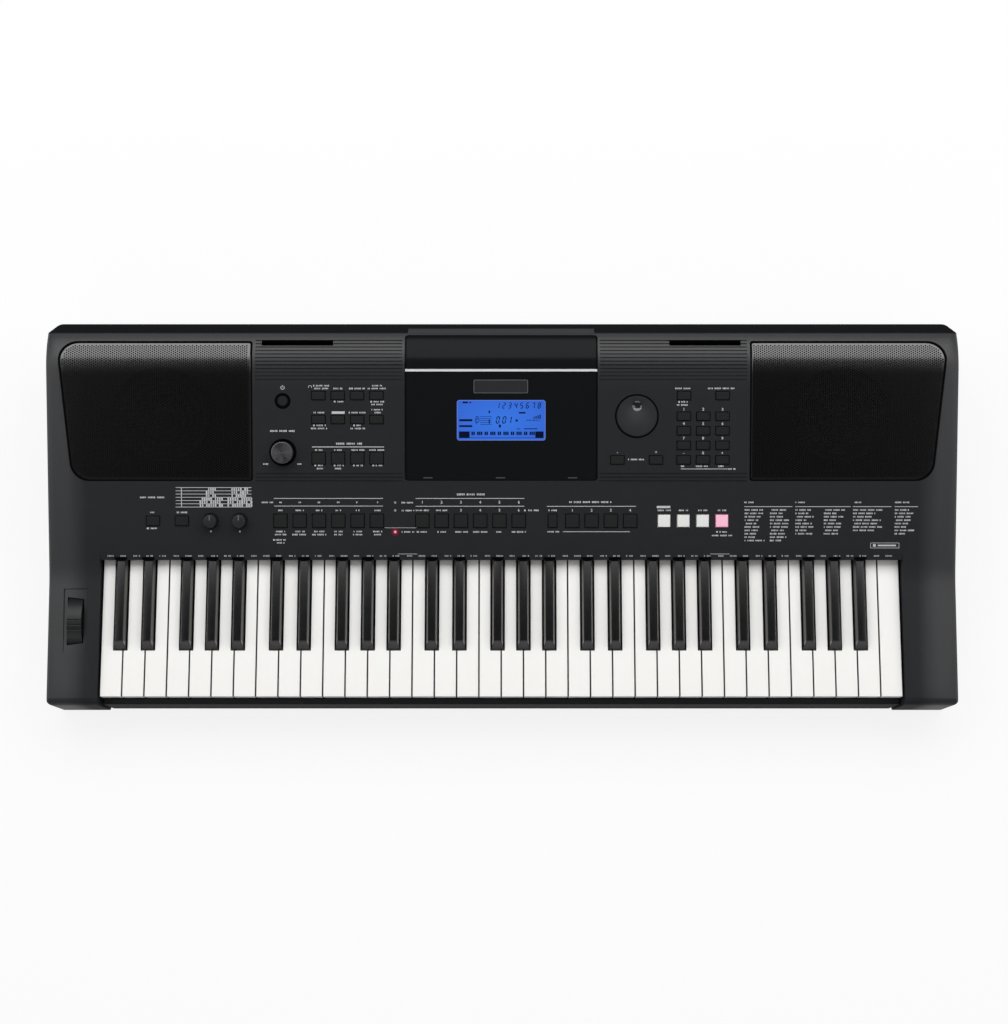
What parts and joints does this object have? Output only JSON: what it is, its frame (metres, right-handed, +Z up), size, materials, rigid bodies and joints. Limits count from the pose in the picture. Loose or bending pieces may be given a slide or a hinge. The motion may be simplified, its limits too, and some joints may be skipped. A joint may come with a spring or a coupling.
{
  "type": "arranger keyboard",
  "caption": "Portable electronic keyboard with hinged piano keys, two loudspeakers, a lit display, a panel of buttons, knobs and a data dial, and a pitch-bend wheel",
  "frame": {"origin": "on the table under the middle of the case", "axes": "+X to the player's right along the keys, +Y from the player to the rear, +Z up"},
  "size_m": [0.946, 0.404, 0.14],
  "materials": {
    "case_plastic": "fine moulded texture",
    "cover_plastic": "fine moulded texture",
    "grille_mesh": "satin, perforated",
    "speaker_steel": "satin",
    "speaker_paper": "matt pressed paper",
    "magnet": "matt",
    "display_gloss": "polished",
    "display_trim": "brushed",
    "display_glass": "lit from behind",
    "board": "solder mask",
    "switch_plastic": "moulded",
    "chassis_plastic": "moulded",
    "steel": "drawn",
    "rubber": "matt",
    "felt": "pressed felt",
    "wheel_plastic": "satin",
    "knob_metal": "satin with a brushed cap",
    "knob_plastic": "satin",
    "button_rubber": "matt",
    "button_white": "satin",
    "white_key": "polished",
    "black_key": "satin"
  },
  "bodies": {
    "case": {"lower_case": "case_plastic", "upper_case": "case_plastic", "speaker_grille_left": "grille_mesh", "speaker_grille_right": "grille_mesh", "speaker_frames": "speaker_steel", "speaker_cones": "speaker_paper", "speaker_magnets": "magnet", "display_panel": "display_gloss", "display_trim": "display_trim", "display_module": "display_glass", "main_board": "board", "panel_boards": "board", "panel_switches": "switch_plastic", "rotary_controls": "switch_plastic", "key_chassis": "chassis_plastic", "key_pivot_rod": "steel", "key_contact_board": "board", "key_contact_rubbers": "rubber", "key_felts": "felt", "pitch_wheel_bracket": "chassis_plastic", "rear_sockets": "switch_plastic", "rubber_feet": "rubber", "case_screws": "steel"},
    "key_c_octave_3": {"key_c_octave_3": "white_key"},
    "key_d_octave_3": {"key_d_octave_3": "white_key"},
    "key_e_octave_3": {"key_e_octave_3": "white_key"},
    "key_f_octave_3": {"key_f_octave_3": "white_key"},
    "key_g_octave_3": {"key_g_octave_3": "white_key"},
    "key_a_octave_3": {"key_a_octave_3": "white_key"},
    "key_b_octave_3": {"key_b_octave_3": "white_key"},
    "key_c_sharp_octave_3": {"key_c_sharp_octave_3": "black_key"},
    "key_d_sharp_octave_3": {"key_d_sharp_octave_3": "black_key"},
    "key_f_sharp_octave_3": {"key_f_sharp_octave_3": "black_key"},
    "key_g_sharp_octave_3": {"key_g_sharp_octave_3": "black_key"},
    "key_a_sharp_octave_3": {"key_a_sharp_octave_3": "black_key"},
    "white_keys_octave_1": {"white_keys_octave_1": "white_key"},
    "white_keys_octave_2": {"white_keys_octave_2": "white_key"},
    "white_keys_octave_4": {"white_keys_octave_4": "white_key"},
    "white_keys_octave_5": {"white_keys_octave_5": "white_key"},
    "black_keys_octave_1": {"black_keys_octave_1": "black_key"},
    "black_keys_octave_2": {"black_keys_octave_2": "black_key"},
    "black_keys_octave_4": {"black_keys_octave_4": "black_key"},
    "black_keys_octave_5": {"black_keys_octave_5": "black_key"},
    "setup_buttons": {"setup_buttons": "button_rubber"},
    "voice_buttons": {"voice_buttons": "button_rubber"},
    "live_buttons": {"live_buttons": "button_rubber"},
    "section_buttons": {"section_buttons": "button_rubber"},
    "track_buttons": {"track_buttons": "button_rubber"},
    "memory_buttons": {"memory_buttons": "button_rubber"},
    "mode_buttons": {"mode_buttons": "button_white"},
    "number_buttons": {"number_buttons": "button_rubber"},
    "function_buttons": {"function_buttons": "button_rubber"},
    "category_buttons": {"category_buttons": "button_rubber"},
    "standby_button": {"standby_button": "button_rubber"},
    "master_volume_knob": {"master_volume_knob": "knob_metal"},
    "live_knob_a": {"live_knob_a": "knob_plastic"},
    "live_knob_b": {"live_knob_b": "knob_plastic"},
    "data_dial": {"data_dial": "knob_plastic"},
    "pitch_bend_wheel": {"pitch_bend_wheel": "wheel_plastic"},
    "battery_cover": {"battery_cover": "cover_plastic"}
  },
  "joints": [
    {"name": "master_volume_knob_turn", "type": "hinge", "parent": "case", "child": "master_volume_knob", "pos_m": [-0.2273, 0.05597, 0.11836], "axis": [0, -0.2317, 0.9728], "range_deg": [-150, 150]},
    {"name": "live_knob_a_turn", "type": "hinge", "parent": "case", "child": "live_knob_a", "pos_m": [-0.3025, -0.01319, 0.10188], "axis": [0, -0.2317, 0.9728], "range_deg": [-150, 150]},
    {"name": "live_knob_b_turn", "type": "hinge", "parent": "case", "child": "live_knob_b", "pos_m": [-0.2725, -0.01319, 0.10188], "axis": [0, -0.2317, 0.9728], "range_deg": [-150, 150]},
    {"name": "data_dial_turn", "type": "hinge", "parent": "case", "child": "data_dial", "pos_m": [0.1392, 0.09245, 0.12705], "axis": [0, -0.2317, 0.9728], "continuous": true},
    {"name": "pitch_bend", "type": "hinge", "parent": "case", "child": "pitch_bend_wheel", "pos_m": [-0.443, -0.1145, 0.0607], "axis": [1, 0, 0], "range_deg": [-30, 30], "stiffness_Nm_per_rad": 0.1},
    {"name": "battery_cover_release", "type": "slide", "parent": "case", "child": "battery_cover", "axis": [0, 0, -1], "range_m": [0, 0.03]},
    {"name": "setup_buttons_press", "type": "slide", "parent": "case", "child": "setup_buttons", "axis": [0, 0.2317, -0.9728], "range_m": [0, 0.0008], "stiffness_N_per_m": 6400, "springref_m": -0.0015},
    {"name": "voice_buttons_press", "type": "slide", "parent": "case", "child": "voice_buttons", "axis": [0, 0.2317, -0.9728], "range_m": [0, 0.0008], "stiffness_N_per_m": 3200, "springref_m": -0.0015},
    {"name": "live_buttons_press", "type": "slide", "parent": "case", "child": "live_buttons", "axis": [0, 0.2317, -0.9728], "range_m": [0, 0.0008], "stiffness_N_per_m": 1600, "springref_m": -0.0015},
    {"name": "section_buttons_press", "type": "slide", "parent": "case", "child": "section_buttons", "axis": [0, 0.2317, -0.9728], "range_m": [0, 0.0008], "stiffness_N_per_m": 4800, "springref_m": -0.0015},
    {"name": "track_buttons_press", "type": "slide", "parent": "case", "child": "track_buttons", "axis": [0, 0.2317, -0.9728], "range_m": [0, 0.0008], "stiffness_N_per_m": 4800, "springref_m": -0.0015},
    {"name": "memory_buttons_press", "type": "slide", "parent": "case", "child": "memory_buttons", "axis": [0, 0.2317, -0.9728], "range_m": [0, 0.0008], "stiffness_N_per_m": 4000, "springref_m": -0.0015},
    {"name": "mode_buttons_press", "type": "slide", "parent": "case", "child": "mode_buttons", "axis": [0, 0.2317, -0.9728], "range_m": [0, 0.0008], "stiffness_N_per_m": 3200, "springref_m": -0.0015},
    {"name": "number_buttons_press", "type": "slide", "parent": "case", "child": "number_buttons", "axis": [0, 0.2317, -0.9728], "range_m": [0, 0.0008], "stiffness_N_per_m": 9600, "springref_m": -0.0015},
    {"name": "function_buttons_press", "type": "slide", "parent": "case", "child": "function_buttons", "axis": [0, 0.2317, -0.9728], "range_m": [0, 0.0008], "stiffness_N_per_m": 1600, "springref_m": -0.0015},
    {"name": "category_buttons_press", "type": "slide", "parent": "case", "child": "category_buttons", "axis": [0, 0.2317, -0.9728], "range_m": [0, 0.0008], "stiffness_N_per_m": 1600, "springref_m": -0.0015},
    {"name": "standby_button_press", "type": "slide", "parent": "case", "child": "standby_button", "axis": [0, 0.2317, -0.9728], "range_m": [0, 0.0008], "stiffness_N_per_m": 800, "springref_m": -0.0015},
    {"name": "key_c_octave_3_press", "type": "hinge", "parent": "case", "child": "key_c_octave_3", "pos_m": [0, 0.012, 0.066], "axis": [1, 0, 0], "range_deg": [0, 2.8], "stiffness_Nm_per_rad": 0.8, "springref_deg": -8.59},
    {"name": "key_d_octave_3_press", "type": "hinge", "parent": "case", "child": "key_d_octave_3", "pos_m": [0, 0.012, 0.066], "axis": [1, 0, 0], "range_deg": [0, 2.8], "stiffness_Nm_per_rad": 0.8, "springref_deg": -8.59},
    {"name": "key_e_octave_3_press", "type": "hinge", "parent": "case", "child": "key_e_octave_3", "pos_m": [0, 0.012, 0.066], "axis": [1, 0, 0], "range_deg": [0, 2.8], "stiffness_Nm_per_rad": 0.8, "springref_deg": -8.59},
    {"name": "key_f_octave_3_press", "type": "hinge", "parent": "case", "child": "key_f_octave_3", "pos_m": [0, 0.012, 0.066], "axis": [1, 0, 0], "range_deg": [0, 2.8], "stiffness_Nm_per_rad": 0.8, "springref_deg": -8.59},
    {"name": "key_g_octave_3_press", "type": "hinge", "parent": "case", "child": "key_g_octave_3", "pos_m": [0, 0.012, 0.066], "axis": [1, 0, 0], "range_deg": [0, 2.8], "stiffness_Nm_per_rad": 0.8, "springref_deg": -8.59},
    {"name": "key_a_octave_3_press", "type": "hinge", "parent": "case", "child": "key_a_octave_3", "pos_m": [0, 0.012, 0.066], "axis": [1, 0, 0], "range_deg": [0, 2.8], "stiffness_Nm_per_rad": 0.8, "springref_deg": -8.59},
    {"name": "key_b_octave_3_press", "type": "hinge", "parent": "case", "child": "key_b_octave_3", "pos_m": [0, 0.012, 0.066], "axis": [1, 0, 0], "range_deg": [0, 2.8], "stiffness_Nm_per_rad": 0.8, "springref_deg": -8.59},
    {"name": "key_c_sharp_octave_3_press", "type": "hinge", "parent": "case", "child": "key_c_sharp_octave_3", "pos_m": [0, 0.012, 0.066], "axis": [1, 0, 0], "range_deg": [0, 2.8], "stiffness_Nm_per_rad": 0.8, "springref_deg": -8.59},
    {"name": "key_d_sharp_octave_3_press", "type": "hinge", "parent": "case", "child": "key_d_sharp_octave_3", "pos_m": [0, 0.012, 0.066], "axis": [1, 0, 0], "range_deg": [0, 2.8], "stiffness_Nm_per_rad": 0.8, "springref_deg": -8.59},
    {"name": "key_f_sharp_octave_3_press", "type": "hinge", "parent": "case", "child": "key_f_sharp_octave_3", "pos_m": [0, 0.012, 0.066], "axis": [1, 0, 0], "range_deg": [0, 2.8], "stiffness_Nm_per_rad": 0.8, "springref_deg": -8.59},
    {"name": "key_g_sharp_octave_3_press", "type": "hinge", "parent": "case", "child": "key_g_sharp_octave_3", "pos_m": [0, 0.012, 0.066], "axis": [1, 0, 0], "range_deg": [0, 2.8], "stiffness_Nm_per_rad": 0.8, "springref_deg": -8.59},
    {"name": "key_a_sharp_octave_3_press", "type": "hinge", "parent": "case", "child": "key_a_sharp_octave_3", "pos_m": [0, 0.012, 0.066], "axis": [1, 0, 0], "range_deg": [0, 2.8], "stiffness_Nm_per_rad": 0.8, "springref_deg": -8.59},
    {"name": "white_keys_octave_1_press", "type": "hinge", "parent": "case", "child": "white_keys_octave_1", "pos_m": [0, 0.012, 0.066], "axis": [1, 0, 0], "range_deg": [0, 2.8], "stiffness_Nm_per_rad": 5.6, "springref_deg": -8.59},
    {"name": "white_keys_octave_2_press", "type": "hinge", "parent": "case", "child": "white_keys_octave_2", "pos_m": [0, 0.012, 0.066], "axis": [1, 0, 0], "range_deg": [0, 2.8], "stiffness_Nm_per_rad": 5.6, "springref_deg": -8.59},
    {"name": "white_keys_octave_4_press", "type": "hinge", "parent": "case", "child": "white_keys_octave_4", "pos_m": [0, 0.012, 0.066], "axis": [1, 0, 0], "range_deg": [0, 2.8], "stiffness_Nm_per_rad": 5.6, "springref_deg": -8.59},
    {"name": "white_keys_octave_5_press", "type": "hinge", "parent": "case", "child": "white_keys_octave_5", "pos_m": [0, 0.012, 0.066], "axis": [1, 0, 0], "range_deg": [0, 2.8], "stiffness_Nm_per_rad": 6.4, "springref_deg": -8.59},
    {"name": "black_keys_octave_1_press", "type": "hinge", "parent": "case", "child": "black_keys_octave_1", "pos_m": [0, 0.012, 0.066], "axis": [1, 0, 0], "range_deg": [0, 2.8], "stiffness_Nm_per_rad": 4, "springref_deg": -8.59},
    {"name": "black_keys_octave_2_press", "type": "hinge", "parent": "case", "child": "black_keys_octave_2", "pos_m": [0, 0.012, 0.066], "axis": [1, 0, 0], "range_deg": [0, 2.8], "stiffness_Nm_per_rad": 4, "springref_deg": -8.59},
    {"name": "black_keys_octave_4_press", "type": "hinge", "parent": "case", "child": "black_keys_octave_4", "pos_m": [0, 0.012, 0.066], "axis": [1, 0, 0], "range_deg": [0, 2.8], "stiffness_Nm_per_rad": 4, "springref_deg": -8.59},
    {"name": "black_keys_octave_5_press", "type": "hinge", "parent": "case", "child": "black_keys_octave_5", "pos_m": [0, 0.012, 0.066], "axis": [1, 0, 0], "range_deg": [0, 2.8], "stiffness_Nm_per_rad": 4, "springref_deg": -8.59}
  ]
}
